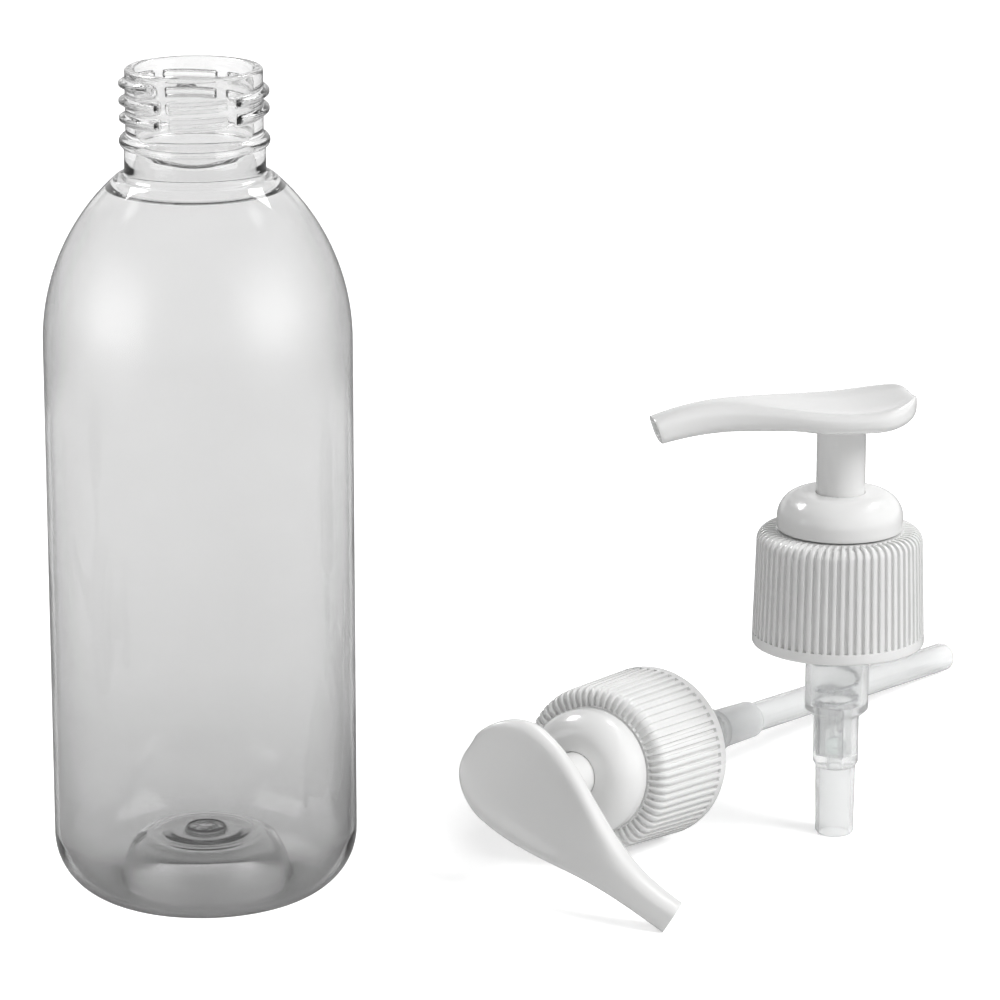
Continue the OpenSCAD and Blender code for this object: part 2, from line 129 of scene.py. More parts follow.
bottle_section = (
    base_rows + [(foot_r - 0.3, 0.0)] + arc(foot_r, heel_r, heel_r, -90, 0, 24)
    + straight((body_r, heel_r), (body_r, side_top), 12)[1:-1]
    + arc(shoulder_cx, side_top, shoulder_r, 0, angle_at(shoulder_r, shoulder_start), 34)
    + arc(shoulder_start, crease_z + crease_r, crease_r, -90, -180, 8)[1:]
    + straight((neck_foot_r, crease_z + crease_r + 0.5), (neck_foot_r, bead_z - bead_h / 2 - 0.3), 3)
    + arc(bead_r - bead_h / 2, bead_z, bead_h / 2, -75, 75, 12)
    + [(neck_r + 0.2, bead_z + bead_h / 2 + 0.1)] + thread_rows
    + arc(neck_r - 0.6, rim_z - 0.6, 0.6, 0, 90, 5) + arc(mouth_r + 0.5, rim_z - 0.5, 0.5, 90, 180, 5)
    + straight((mouth_r, rim_z - 1.5), (mouth_r, bore_end), 8)[:-1] + in_bend + in_shoulder
    + straight((body_r - wall, side_top), (body_r - wall, in_heel_z), 10)[1:-1] + in_heel + in_base_rows)


thread_pitch, thread_depth, thread_foot_z = 3.18, 1.12, rim_z - 9.9
thread_start, thread_run, vents = 100.0, 860.0, (68.0, 126.0, 248.0, 306.0)


def thread_ridge(angle, z):
    """How far the thread stands out of the neck at an angle in degrees and a height."""
    height = np.zeros_like(z)
    for turn in range(3):
        run = (angle - thread_start) % 360 + 360 * turn
        away = np.abs(z - thread_foot_z - thread_pitch * run / 360)
        ends = smooth(run, 0, 22) * (1 - smooth(run, thread_run - 22, thread_run))
        height = np.maximum(height, (1 - smooth(away, 0.22, 1.15)) * ends)
    for vent in vents:
        height = height * smooth(np.abs((angle - vent + 180) % 360 - 180), 4.2, 6.6)
    return thread_depth * height


base_marks = ((-12.6, -1.0, 1.1), (12.6, 5.5, 1.4))
gate_high, gate_high_inside, gate_w, mark_high, mark_w, ripple = 0.4, 0.3, 0.2, 0.2, 0.28, 2.3


def bell(away, width):
    """1 where away is 0, and a smooth fall to nothing within a few widths."""
    return np.exp(-(away / width) ** 2)


def shape_bottle(angle, r, z):
    """Raises the thread, and on the base the ring round the gate, seen on both faces of the wall,
    faint ripples outside it and two small round marks."""
    row = np.arange(len(r))[:, None]
    first = bottle_section.index(thread_rows[0])
    on_neck = (row >= first) & (row < first + len(thread_rows))
    r = r + np.where(on_neck, thread_ridge(angle, z), 0)
    x, y = r * np.cos(np.radians(angle)), r * np.sin(np.radians(angle))
    out = np.hypot(x, y)
    gate = bell(out - gate_r, gate_w)
    raised = gate_high * gate + 0.1 * bell(out - 6.2, 1.1)
    waves = 0.03 * np.sin(2 * math.pi * out / ripple)
    raised = raised + waves * smooth(out, 6.5, 8.5) * (1 - smooth(out, 13.0, 15.0))
    for mark_x, mark_y, mark_r in base_marks:
        raised = raised + mark_high * bell(np.hypot(x - mark_x, y - mark_y) - mark_r, mark_w)
    z = z - np.where(row < len(base_rows), raised, 0)
    return r, z + np.where(row >= len(bottle_section) - len(in_base_rows), gate_high_inside * gate, 0)


def revolve(section, columns, shape=None, poles=False):
    """Mesh of a closed section turned round the Z axis. With poles, the section starts and ends at
    the axis, and each end closes in a point."""
    angle = np.linspace(0, 360, columns, endpoint=False)[None, :]
    r = np.array([p[0] for p in section])[:, None] + 0 * angle
    z = np.array([p[1] for p in section])[:, None] + 0 * angle
    if shape:
        r, z = shape(angle + 0 * r, r, z)
    turn = np.radians(angle) + 0 * r
    verts = np.stack([r * np.cos(turn), r * np.sin(turn), z], -1).reshape(-1, 3).tolist()
    ring, after = np.arange(columns), np.roll(np.arange(columns), -1)
    rows, faces = len(section), []
    for k in range(rows - 1 if poles else rows):
        low, high = k * columns, (k + 1) % rows * columns
        faces += np.stack([low + ring, low + after, high + after, high + ring], 1).tolist()
    if poles:
        for row, wind in ((0, -1), (rows - 1, 1)):
            verts.append([0, 0, float(np.mean(z[row]))])
            faces += [[len(verts) - 1, *(row * columns + np.array(pair))[::wind].tolist()]
                      for pair in zip(ring, after)]
    mesh = bpy.data.meshes.new("revolved")
    mesh.from_pydata(verts, [], faces)
    return mesh


sharp_from = 48


def finished(mesh, name, material, place=Matrix.Identity(4)):
    """Object of a finished mesh: doubles merged, faces outwards, smooth, and its place in its mesh."""
    bm = bmesh.new()
    bm.from_mesh(mesh)
    bmesh.ops.remove_doubles(bm, verts=bm.verts, dist=1e-4)
    bmesh.ops.recalc_face_normals(bm, faces=bm.faces)
    bm.to_mesh(mesh)
    bm.free()
    mesh.transform(place @ Matrix.Scale(mm, 4))
    mesh.shade_smooth()
    mesh.set_sharp_from_angle(angle=math.radians(sharp_from))
    mesh.materials.clear()
    mesh.materials.append(material)
    piece = bpy.data.objects.new(name, mesh)
    bpy.context.scene.collection.objects.link(piece)
    return piece


def nodes_of(tree):
    """A maker of nodes for a tree: inputs by name or number, linked where they are sockets."""
    def add(kind, inputs=None, **settings):
        node = tree.nodes.new(kind)
        for key, value in settings.items():
            setattr(node, key, value)
        for key, value in (inputs or {}).items():
            if isinstance(value, bpy.types.NodeSocket):
                tree.links.new(value, node.inputs[key])
            else:
                node.inputs[key].default_value = value
        return node
    return add


def shader(name):
    """New material, its Principled shader and its maker of nodes."""
    material = bpy.data.materials.new(name)
    material.use_nodes = True
    return material, material.node_tree.nodes["Principled BSDF"], nodes_of(material.node_tree)


def maths(add, operation, *values, **settings):
    """Result of a maths node on numbers and sockets."""
    return add("ShaderNodeMath", dict(enumerate(values)), operation=operation, **settings).outputs[0]


def mapped(add, value, low=0.0, high=1.0, start=0.0, end=1.0, kind="LINEAR"):
    """A value carried from the range low to high over to start to end, and held at both ends."""
    ends = {0: value, 1: low, 2: high, 3: start, 4: end}
    return add("ShaderNodeMapRange", ends, interpolation_type=kind).outputs[0]


def noise(add, at, scale, detail):
    """Noise between 0 and 1."""
    return add("ShaderNodeTexNoise", {"Vector": at, "Scale": scale, "Detail": detail}).outputs["Fac"]


def from_axis(add, at):
    """Distance from the Z axis."""
    flat = add("ShaderNodeVectorMath", {0: at, 1: (1, 1, 0)}, operation="MULTIPLY").outputs[0]
    return add("ShaderNodeVectorMath", {0: flat}, operation="LENGTH").outputs["Value"]


def bumped(add, height, strength, distance, under=None):
    """Bump of a height, on top of another bump if there is one."""
    inputs = {"Height": height, "Strength": strength, "Distance": distance}
    if under:
        inputs["Normal"] = under
    return add("ShaderNodeBump", inputs).outputs[0]


def feed(material, output, principled, socket):
    """Links a node's output to one of the shader's sockets."""
    material.node_tree.links.new(output, principled.inputs[socket])


def ramp(add, factor, stops):
    """Colour ramp over a factor; each stop is a position and a grey or a colour."""
    node = add("ShaderNodeValToRGB", {"Fac": factor})
    band = node.color_ramp
    band.elements[0].position, band.elements[1].position = stops[0][0], stops[-1][0]
    for position, _ in stops[1:-1]:
        band.elements.new(position)
    for element, (_, colour) in zip(band.elements, stops):
        element.color = (*([colour] * 3 if isinstance(colour, float) else colour), 1)
    return node.outputs["Color"]


clear_pet, pet_shader, add = shader("clear_pet")
at = add("ShaderNodeTexCoord").outputs["Object"]
up = add("ShaderNodeSeparateXYZ", {0: at}).outputs["Z"]
out = from_axis(add, at)
share = mapped(add, up, 0.0, rim_z * mm)
base_edge, base_top = (0.0168, 0.0158), 0.02
in_base = mapped(add, out, *base_edge, kind="SMOOTHSTEP")
in_base = maths(add, "MULTIPLY", in_base, maths(add, "LESS_THAN", up, base_top))

# Dark lines in the base: the ring round the gate with rough flecks in it, and the two marks
gate_line, gate_inside, mark_line = (0.00024, 0.00034), (0.0030, 0.0033), (0.00016, 0.00030)
fleck_size = 900.0
ring = maths(add, "ABSOLUTE", maths(add, "SUBTRACT", out, gate_r * mm))
marked = mapped(add, ring, *gate_line)
for mark_x, mark_y, mark_r in base_marks:
    moved = add("ShaderNodeVectorMath", {0: at, 1: (-mark_x * mm, -mark_y * mm, 0)}, operation="ADD")
    away = maths(add, "SUBTRACT", from_axis(add, moved.outputs[0]), mark_r * mm)
    away = maths(add, "ABSOLUTE", away)
    marked = maths(add, "MINIMUM", marked, mapped(add, away, *mark_line, 0.1, 1.0))
fleck = mapped(add, noise(add, at, fleck_size, 2.0), 0.40, 0.47)
fleck = maths(add, "MAXIMUM", fleck, mapped(add, out, *gate_inside))
marked = maths(add, "MINIMUM", marked, fleck)

# Tint: the PET's own grey, darkened towards the foot by painted shade, and where the wall is seen edge on
# partly by its longer path and partly by painted shade;
# a painted dark rim along the outline, and painted shade on the base's flank by the foot
wall_tint_and_shade = ramp(add, share, [(0.0, 0.44), (0.03, 0.52), (0.06, 0.61), (0.08, 0.65), (0.14, 0.68),
                              (0.22, 0.745), (0.33, 0.775), (0.49, 0.80), (0.65, 0.815), (0.76, 0.84),
                              (0.80, 0.86), (0.90, 0.86), (1.0, 0.86)])
# Painted shade on the base's flank, darker towards the foot ring; the dark lines are multiplied into it
tint_reach = 0.02
painted_flank_shade = ramp(add, maths(add, "MULTIPLY", out, 1 / tint_reach),
                  [(0.0, 1.0), (0.67, 1.0), (0.75, 0.82), (0.84, 0.62)])
base_marks_and_shade = maths(add, "MULTIPLY", mapped(add, marked, start=0.02, end=0.97), painted_flank_shade)
tint_and_shade = add("ShaderNodeMix", {0: in_base, 6: wall_tint_and_shade, 7: base_marks_and_shade}, data_type="RGBA").outputs[2]
# Shade where the wall is seen edge on, partly its longer path through the grey wall and partly painted shade,
# stronger towards the foot;
# a painted dark rim along the outline; neither on the base. The faint haze below carries this painted shade
facing = add("ShaderNodeLayerWeight", {"Blend": 0.5}).outputs["Facing"]
depth = ramp(add, share, [(0.0, 0.88), (0.05, 0.72), (0.10, 0.42), (0.25, 0.36), (0.55, 0.10), (0.65, 0.03),
                          (0.85, 0.03), (1.0, 0.2)])
edge = mapped(add, facing, 0.3, 0.85, kind="SMOOTHSTEP")
shade = maths(add, "SUBTRACT", 1.0, maths(add, "MULTIPLY", edge, depth))
rim = mapped(add, facing, 0.72, 0.9, 1.0, 0.22, kind="SMOOTHSTEP")
shade = mapped(add, in_base, start=maths(add, "MULTIPLY", shade, rim), end=1.0)
haze_and_shade = ramp(add, noise(add, at, 30.0, 3.0), [(0.35, 0.975), (0.65, 1.0)])
haze_and_shade = maths(add, "MULTIPLY", haze_and_shade, shade)
body = add("ShaderNodeMix", {0: 1.0, 6: tint_and_shade, 7: haze_and_shade}, data_type="RGBA", blend_type="MULTIPLY").outputs[2]
feed(clear_pet, body, pet_shader, "Base Color")

# Relief too fine for the mesh: the blown wall's waves, grit at the foot, and the lines' cut edges
grit_z, grit_size, wave_size = (0.011, 0.002), 1500.0, 26.0
grit = maths(add, "MULTIPLY", noise(add, at, grit_size, 2.0), mapped(add, up, *grit_z))
waves = bumped(add, noise(add, at, wave_size, 2.0), 0.35, 0.0006)
cut = maths(add, "MULTIPLY", maths(add, "SUBTRACT", 1.0, marked), in_base)
cut = bumped(add, cut, 0.7, 0.0002, bumped(add, grit, 0.1, 0.0002, waves))
feed(clear_pet, cut, pet_shader, "Normal")

# Polished all over, but for the etched foot, the flank of the base and a band on the shoulder
etched_z, flank_z, band_low, band_high = (0.0085, 0.003), (0.0099, 0.0060), (0.088, 0.106), (0.134, 0.127)
etched = mapped(add, up, *etched_z, 0.015, 0.26, kind="SMOOTHSTEP")
flank = mapped(add, up, *flank_z, 0.0, 0.27, kind="SMOOTHSTEP")
etched = maths(add, "MAXIMUM", etched, maths(add, "MULTIPLY", flank, in_base))
band = mapped(add, up, *band_low, 0.0, 0.25, kind="SMOOTHSTEP")
band = maths(add, "MULTIPLY", band, mapped(add, up, *band_high, kind="SMOOTHSTEP"))
feed(clear_pet, maths(add, "MAXIMUM", etched, band), pet_shader, "Roughness")
pet_shader.inputs["Transmission Weight"].default_value = 1.0
pet_shader.inputs["IOR"].default_value = 1.5

bottle = finished(revolve(bottle_section, columns=240, shape=shape_bottle, poles=True), "bottle_skin",
                  clear_pet)
# It casts no shadow; a painted shadow on the floor stands in for it
bottle.visible_shadow = False
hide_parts("bottle")
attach(bottle, "bottle")


# ------------------------------------------------------------------ housings
# Milky natural PP in one moulding: the flange that seals on the bottle's rim, the barrel that the
# piston slides in, the narrower section round the inlet valve's ball, and the dip tube's socket.

closure_top, tip_share = 4.05, 1.2


def pump_place(which):
    """Where a pump stands. It is made upright, its sealing plane at z = 0, its nozzle towards -X."""
    joint = next(j for j in frame["joints"] if j["name"] == f"closure_{which}_turn")
    axis = Vector(joint["axis"]).normalized()
    seal = Vector(joint["pos_m"]) - axis * closure_top * mm
    spots = np.array([v.co for v in frame["nodes"][f"actuator_{which}"].data.vertices]) - np.array(seal)
    across = spots - np.outer(spots @ np.array(axis), np.array(axis))
    away = np.linalg.norm(across, axis=1)
    tip = Vector(across[away > away.max() - tip_share * mm].mean(0))
    x = -(tip - axis * tip.dot(axis)).normalized()
    turned = Matrix((x, axis.cross(x), axis)).transposed().to_4x4()
    return Matrix.Translation(seal) @ turned


places = {which: pump_place(which) for which in "ab"}


straight_on, longest_cut, lead = 20, 0.36, 1.3


def rounded(section, radius, steps=3):
    """A closed section with its corners rounded, as moulded edges are. A turn of less than 20
    degrees stays, and a short side is never rounded away."""
    out = []
    for i, corner in enumerate(section):
        q = np.array(corner, float)
        back, on = np.array(section[i - 1]) - q, np.array(section[(i + 1) % len(section)]) - q
        back_l, on_l = np.linalg.norm(back), np.linalg.norm(on)
        turn = math.pi - math.acos(np.clip(back @ on / back_l / on_l, -1, 1))
        if turn < math.radians(straight_on):
            out.append(tuple(q))
            continue
        cut = min(radius * math.tan(turn / 2), longest_cut * back_l, longest_cut * on_l)
        back, on = back / back_l * cut, on / on_l * cut
        out.append(tuple(q + back * lead))
        out += [tuple(q + back * (1 - t) ** 2 + on * t ** 2) for t in np.linspace(0, 1, steps + 1)]
        out.append(tuple(q + on * lead))
    return out


# How rough a moulded surface is from place to place
moulded_skin = bpy.data.node_groups.new("moulded_skin", "ShaderNodeTree")
for name, start in (("Scale", 160.0), ("Low", 0.2), ("High", 0.3)):
    socket = moulded_skin.interface.new_socket(name, in_out="INPUT", socket_type="NodeSocketFloat")
    socket.default_value = start
moulded_skin.interface.new_socket("Roughness", in_out="OUTPUT", socket_type="NodeSocketFloat")
add = nodes_of(moulded_skin)
given = add("NodeGroupInput").outputs
at = add("ShaderNodeTexCoord").outputs["Object"]
peel = noise(add, at, given["Scale"], 0.0)
add("NodeGroupOutput", {"Roughness": mapped(add, peel, 0.3, 0.7, given["Low"], given["High"])})


def plastic(name, colour, low, high, **plain):
    """Moulded plastic: a colour with a faint cloud in it, the moulded skin, and plain sockets."""
    material, principled, add = shader(name)
    at = add("ShaderNodeTexCoord").outputs["Object"]
    darker = tuple(0.985 * c for c in colour)
    cloud = ramp(add, noise(add, at, 60.0, 1.0), [(0.35, darker), (0.65, colour)])
    feed(material, cloud, principled, "Base Color")
    skin = add("ShaderNodeGroup", node_tree=moulded_skin)
    for socket, value in (("Low", low), ("High", high)):
        skin.inputs[socket].default_value = value
    feed(material, skin.outputs["Roughness"], principled, "Roughness")
    for socket, value in plain.items():
        principled.inputs[socket.replace("_", " ")].default_value = value
    return material


natural_pp = plastic("natural_pp", (0.97, 0.975, 0.975), 0.20, 0.26, Transmission_Weight=0.8, IOR=1.3)
flange_r, flange_bottom, flange_top, housing_neck_r, housing_top = 12.3, 1.0, 2.5, 8.0, 6.55
barrel_r, bore_r, bore_bottom, barrel_end = 6.15, 5.0, -30.95, -32.95
valve_r, valve_bore_r, valve_end, seat_z, seat_r = 4.4, 3.2, -43.75, -41.35, 1.3
socket_r, tube_r, socket_end = 3.9, 3.0, -57.55
housing_section = rounded([
    (seat_r, valve_end), (tube_r + 0.02, valve_end), (tube_r + 0.02, socket_end),
    (socket_r - 0.5, socket_end), (socket_r - 0.2, socket_end + 0.5), (socket_r, valve_end),
    (valve_r, valve_end + 1.0), (valve_r, barrel_end), (barrel_r - 1.0, barrel_end),
    (barrel_r, barrel_end + 1.0), (barrel_r, flange_bottom), (flange_r, flange_bottom),
    (flange_r, flange_top), (housing_neck_r, flange_top), (housing_neck_r, housing_top),
    (bore_r, housing_top), (bore_r, bore_bottom), (valve_bore_r, bore_bottom),
    (valve_bore_r, seat_z), (seat_r, seat_z)], 0.22)

for which in "ab":
    housing = finished(revolve(housing_section, columns=112), f"housing_skin_{which}", natural_pp,
                       places[which])
    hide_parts(f"housing_{which}")
    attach(housing, f"pump_{which}")


# ------------------------------------------------------------------ ball cages
# Four ribs inside each housing's valve section, part of its moulding. They keep the ball in line
# above its seat, and the hook at each rib's top stops it from rising more than 1.5 mm.

def geometry_tree(name, **sockets):
    """New tree of geometry nodes: its maker of nodes, its inputs by name, and the tree."""
    tree = bpy.data.node_groups.new(name, "GeometryNodeTree")
    kinds = {float: "NodeSocketFloat", int: "NodeSocketInt", "Geometry": "NodeSocketGeometry",
             "Material": "NodeSocketMaterial"}
    tree.interface.new_socket("Geometry", in_out="OUTPUT", socket_type="NodeSocketGeometry")
    for socket, start in sockets.items():
        kind = kinds[start] if isinstance(start, str) else kinds[type(start)]
        made = tree.interface.new_socket(socket, in_out="INPUT", socket_type=kind)
        if not isinstance(start, str):
            made.default_value = start
    add = nodes_of(tree)
    return tree, add, add("NodeGroupInput").outputs


def grown(tree, start=None, **values):
    """Plain mesh that a tree makes, from a starting mesh where it takes one."""
    holder = bpy.data.objects.new("holder", start or bpy.data.meshes.new("empty"))
    bpy.context.scene.collection.objects.link(holder)
    modifier = holder.modifiers.new("grow", "NODES")
    modifier.node_group = tree
    for socket in tree.interface.items_tree:
        if socket.in_out == "INPUT" and socket.name in values:
            modifier[socket.identifier] = values[socket.name]
    seen = bpy.context.evaluated_depsgraph_get()
    mesh = bpy.data.meshes.new_from_object(holder.evaluated_get(seen), depsgraph=seen)
    holder.modifiers.clear()
    bpy.data.objects.remove(holder)
    return mesh


# Repeats a piece evenly round the Z axis
round_the_axis, add, given = geometry_tree("round_the_axis", Geometry="Geometry", Count=4,
                                           Material="Material")
spots = add("GeometryNodePoints", {"Count": given["Count"]}).outputs[0]
number = add("GeometryNodeInputIndex").outputs[0]
turn = maths(add, "MULTIPLY", maths(add, "DIVIDE", number, given["Count"]), 2 * math.pi)
facing = add("ShaderNodeCombineXYZ", {"Z": turn}).outputs[0]
copies = add("GeometryNodeInstanceOnPoints",
             {"Points": spots, "Instance": given["Geometry"], "Rotation": facing})
real = add("GeometryNodeRealizeInstances", {"Geometry": copies.outputs[0]})
faced = add("GeometryNodeSetMaterial", {"Geometry": real.outputs[0], "Material": given["Material"]})
add("NodeGroupOutput", {"Geometry": faced.outputs[0]})

ball_r, ball_lift = 2.0, 1.5
ball_z = seat_z + math.sqrt(ball_r ** 2 - seat_r ** 2) + 0.02
rib_w, rib_edge, rib_top, stop_z = 0.8, 0.12, bore_bottom - 0.6, ball_z + ball_r + ball_lift


def cage_rib():
    """One rib with its hook: a flat shape in the XZ plane, given its width and round edges."""
    side = [(valve_bore_r + 0.3, seat_z - 0.2), (valve_bore_r + 0.3, rib_top), (ball_r - 0.2, rib_top),
            (ball_r - 0.7, rib_top - 0.5), (ball_r - 0.7, stop_z + 0.3), (ball_r + 0.15, stop_z),
            (ball_r + 0.15, seat_z - 0.2)]
    bm = bmesh.new()
    face = bm.faces.new([bm.verts.new((x, -rib_w / 2, z)) for x, z in side])
    out = bmesh.ops.extrude_face_region(bm, geom=[face])
    far_side = [v for v in out["geom"] if isinstance(v, bmesh.types.BMVert)]
    bmesh.ops.translate(bm, verts=far_side, vec=(0, rib_w, 0))
    bmesh.ops.recalc_face_normals(bm, faces=bm.faces)
    bmesh.ops.bevel(bm, geom=bm.edges, offset=rib_edge, segments=2, affect="EDGES")
    mesh = bpy.data.meshes.new("cage_rib")
    bm.to_mesh(mesh)
    bm.free()
    return mesh


for which in "ab":
    ribs = finished(grown(round_the_axis, cage_rib(), Count=4, Material=natural_pp),
                    f"ball_cage_{which}", natural_pp, places[which])
    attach(ribs, f"pump_{which}")


# ------------------------------------------------------------------ gaskets
# Soft foam washers, punched from sheet, that sit under the housing's flange and seal on the
# bottle's rim. The punched edges are a little rough and the closed cells show as fine pits.

gasket_foam, foam_shader, add = shader("gasket_foam")
at = add("ShaderNodeTexCoord").outputs["Object"]
cells = add("ShaderNodeTexVoronoi", {"Vector": at, "Scale": 2600.0}).outputs["Distance"]
# The foam's grey, with painted shade that darkens each pit towards its middle
foam_pit_shade = [(0.0, (0.60, 0.61, 0.60)), (0.5, (0.80, 0.81, 0.80))]
feed(gasket_foam, ramp(add, cells, foam_pit_shade), foam_shader, "Base Color")
feed(gasket_foam, mapped(add, cells, start=0.9, end=0.6), foam_shader, "Roughness")
feed(gasket_foam, bumped(add, cells, 0.4, 0.0002), foam_shader, "Normal")
gasket_in_r, gasket_t = barrel_r + 0.1, 1.0
gasket_section = rounded([(gasket_in_r, 0.0), (flange_r, 0.0), (flange_r, gasket_t), (gasket_in_r, gasket_t)],
                         0.18)

for which in "ab":
    gasket = finished(revolve(gasket_section, columns=96), f"gasket_skin_{which}", gasket_foam, places[which])
    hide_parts(f"gasket_{which}")
    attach(gasket, f"pump_{which}")


# ------------------------------------------------------------------ closures
# White PP screw closures, 28 mm. Sixty-four square grooves run from a plain band at the foot up
# the skirt and over the rounded top edge, so wet hands can turn it; inside runs the thread.

white_pp = plastic("white_pp", (0.84, 0.84, 0.835), 0.29, 0.36, IOR=1.5, Coat_Weight=1.0, Coat_Roughness=0.05)
groove_count, groove_deep = 64, 0.62
# Across a groove, in mm from its middle, with its share of the depth
groove_half = ((0.48, 0), (0.41, 0.06), (0.37, 0.8), (0.30, 1), (0, 1))
skirt_top_r, skirt_foot_r, skirt_bottom, foot_edge, skirt_in_r = 16.0, 16.65, -18.6, -18.0, 14.1
top_round, band_top, closure_in, neck_hole_r, collar_r = 2.2, -16.4, 2.55, 8.1, 12.15


def closure_rows():
    """The closure's section as (r, z, groove, outward r, outward z), where groove is 0 or 1."""
    def skirt_r(z):
        """Radius of the tapered skirt at a height."""
        share = (z - foot_edge) / (closure_top - top_round - foot_edge)
        return skirt_foot_r + (skirt_top_r - skirt_foot_r) * share
    rows = [(r, z, 0, 1, 0) for r, z in arc(skirt_foot_r - 0.5, foot_edge - 0.1, 0.5, -90, 0, 5)]
    rows += [(skirt_r(z), z, 0, 1, 0) for z in (foot_edge + 0.3, band_top - 0.15, band_top - 0.02)]
    rows += [(skirt_r(z), z, 1, 1, 0)
             for z in (band_top, band_top + 0.15, -10.0, -4.0, closure_top - top_round)]
    for t in np.radians(np.linspace(9, 90, 10)):
        rows.append((skirt_top_r - top_round + top_round * math.cos(t),
                     closure_top - top_round + top_round * math.sin(t), 1, math.cos(t), math.sin(t)))
    rows += [(r, closure_top, 1, 0, 1) for r in (13.2, collar_r + 0.35)]
    rows += [(r, closure_top, 0, 0, 1) for r in (collar_r + 0.15, collar_r - 0.1, neck_hole_r + 0.3)]
    inside = rounded([(neck_hole_r, closure_top), (neck_hole_r, closure_in), (skirt_in_r, closure_in),
                      (skirt_in_r, skirt_bottom), (skirt_foot_r - 0.5, skirt_bottom)], 0.35)
    rows += [(r, z, 0, 0, 0) for r, z in inside[1:-6]]
    return rows


def closure_wedge():
    """One groove's share of the closure: its rows across the groove and the two half ridges."""
    half = math.pi / groove_count
    rows, verts, faces = closure_rows(), [], []
    for r, z, cut, out_r, out_z in rows:
        left = [(-half, 0)] + [(-y / r, depth) for y, depth in groove_half]
        across = left + [(-turn, depth) for turn, depth in reversed(left[:-1])]
        for turn, depth in across:
            push = groove_deep * cut * depth
            at_r, at_z = r - push * out_r, z - push * out_z
            verts.append((at_r * math.cos(turn), at_r * math.sin(turn), at_z))
    count = len(across)
    for k in range(len(rows)):
        low, high = k * count, (k + 1) % len(rows) * count
        faces += [(low + j, low + j + 1, high + j + 1, high + j) for j in range(count - 1)]
    mesh = bpy.data.meshes.new("closure_wedge")
    mesh.from_pydata(verts, [], faces)
    return mesh


for which in "ab":
    closure = finished(grown(round_the_axis, closure_wedge(), Count=groove_count, Material=white_pp),
                       f"closure_skin_{which}", white_pp, places[which])
    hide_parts(f"closure_{which}")
    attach(closure, f"closure_{which}")

# Winds a section along a helix: Flat closes the pitch at both ends, Taper thins the ends out
wound, add, given = geometry_tree("wound", Geometry="Geometry", Radius=4.0, Height=16.0, Turns=5.0, Flat=0.0,
                                  Taper=0.0, Steps=240, Material="Material")
line = add("GeometryNodeMeshLine", {"Count": given["Steps"]}).outputs[0]
path = add("GeometryNodeMeshToCurve", {"Mesh": line}).outputs[0]
last = maths(add, "SUBTRACT", given["Steps"], 1.0)
along = maths(add, "DIVIDE", add("GeometryNodeInputIndex").outputs[0], last)
angle = maths(add, "MULTIPLY", maths(add, "MULTIPLY", along, given["Turns"]), 2 * math.pi)
swing = maths(add, "SINE", maths(add, "MULTIPLY", along, 2 * math.pi))
swing = maths(add, "MULTIPLY", swing, given["Flat"])
eased = maths(add, "MULTIPLY_ADD", swing, -1 / (2 * math.pi), along)
spot = add("ShaderNodeCombineXYZ", {
    "X": maths(add, "MULTIPLY", maths(add, "COSINE", angle), given["Radius"]),
    "Y": maths(add, "MULTIPLY", maths(add, "SINE", angle), given["Radius"]),
    "Z": maths(add, "MULTIPLY", eased, given["Height"])}).outputs[0]
helix = add("GeometryNodeSetPosition", {"Geometry": path, "Position": spot}).outputs[0]
upright = add("GeometryNodeSetCurveNormal", {"Curve": helix}, mode="Z_UP").outputs[0]
taper_speed = 12.0
rise = maths(add, "MULTIPLY", along, taper_speed, use_clamp=True)
fall = maths(add, "MULTIPLY", maths(add, "SUBTRACT", 1.0, along), taper_speed, use_clamp=True)
thin = mapped(add, given["Taper"], start=1.0, end=maths(add, "MULTIPLY", rise, fall))
section = add("GeometryNodeMeshToCurve", {"Mesh": given["Geometry"]}).outputs[0]
swept = add("GeometryNodeCurveToMesh",
            {"Curve": upright, "Profile Curve": section, "Scale": thin, "Fill Caps": True})
real = add("GeometryNodeRealizeInstances", {"Geometry": swept.outputs[0]})
faced = add("GeometryNodeSetMaterial", {"Geometry": real.outputs[0], "Material": given["Material"]})
add("NodeGroupOutput", {"Geometry": faced.outputs[0]})


def outline(points):
    """Closed loop of edges, to be wound along a helix."""
    mesh = bpy.data.meshes.new("outline")
    edges = [(i, (i + 1) % len(points)) for i in range(len(points))]
    mesh.from_pydata([(x, y, 0) for x, y in points], edges, [])
    return mesh


in_thread = outline([(-1.25, -0.32), (-1.1, -0.42), (0.3, -1.05), (0.3, 1.05), (-1.1, 0.42), (-1.25, 0.32)])
in_thread_turns, in_thread_z = 2.1, -14.5
for which in "ab":
    turns = finished(grown(wound, in_thread, Radius=skirt_in_r, Height=in_thread_turns * thread_pitch,
                           Turns=in_thread_turns, Flat=0.0, Taper=1.0, Steps=200, Material=white_pp),
                     f"closure_thread_{which}", white_pp,
                     places[which] @ Matrix.Translation((0, 0, in_thread_z * mm)))
    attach(turns, f"closure_{which}")


# ------------------------------------------------------------------ collars
# Domed white collars, snapped over the housing's neck so that they hold the closure loosely
# below them. The hole in the dome guides the head's shank.

collar_bottom, collar_top, dome_r, shank_r = 4.35, 11.55, 5.0, 4.7
guide_r, snap_r = shank_r + 0.03, housing_neck_r + 0.05
collar_section = (
    [(collar_r - 0.35, collar_bottom), (collar_r - 0.1, collar_bottom + 0.08),
     (collar_r, collar_bottom + 0.35), (collar_r, collar_bottom + 1.0)]
    + arc(collar_r - dome_r, collar_top - dome_r, dome_r, 0, 90, 22)
    + [(5.1, collar_top), (4.9, collar_top - 0.02), (4.8, collar_top - 0.06),
       (guide_r, collar_top - 0.15), (guide_r, housing_top + 0.4), (snap_r, housing_top + 0.4),
       (snap_r, collar_bottom)])

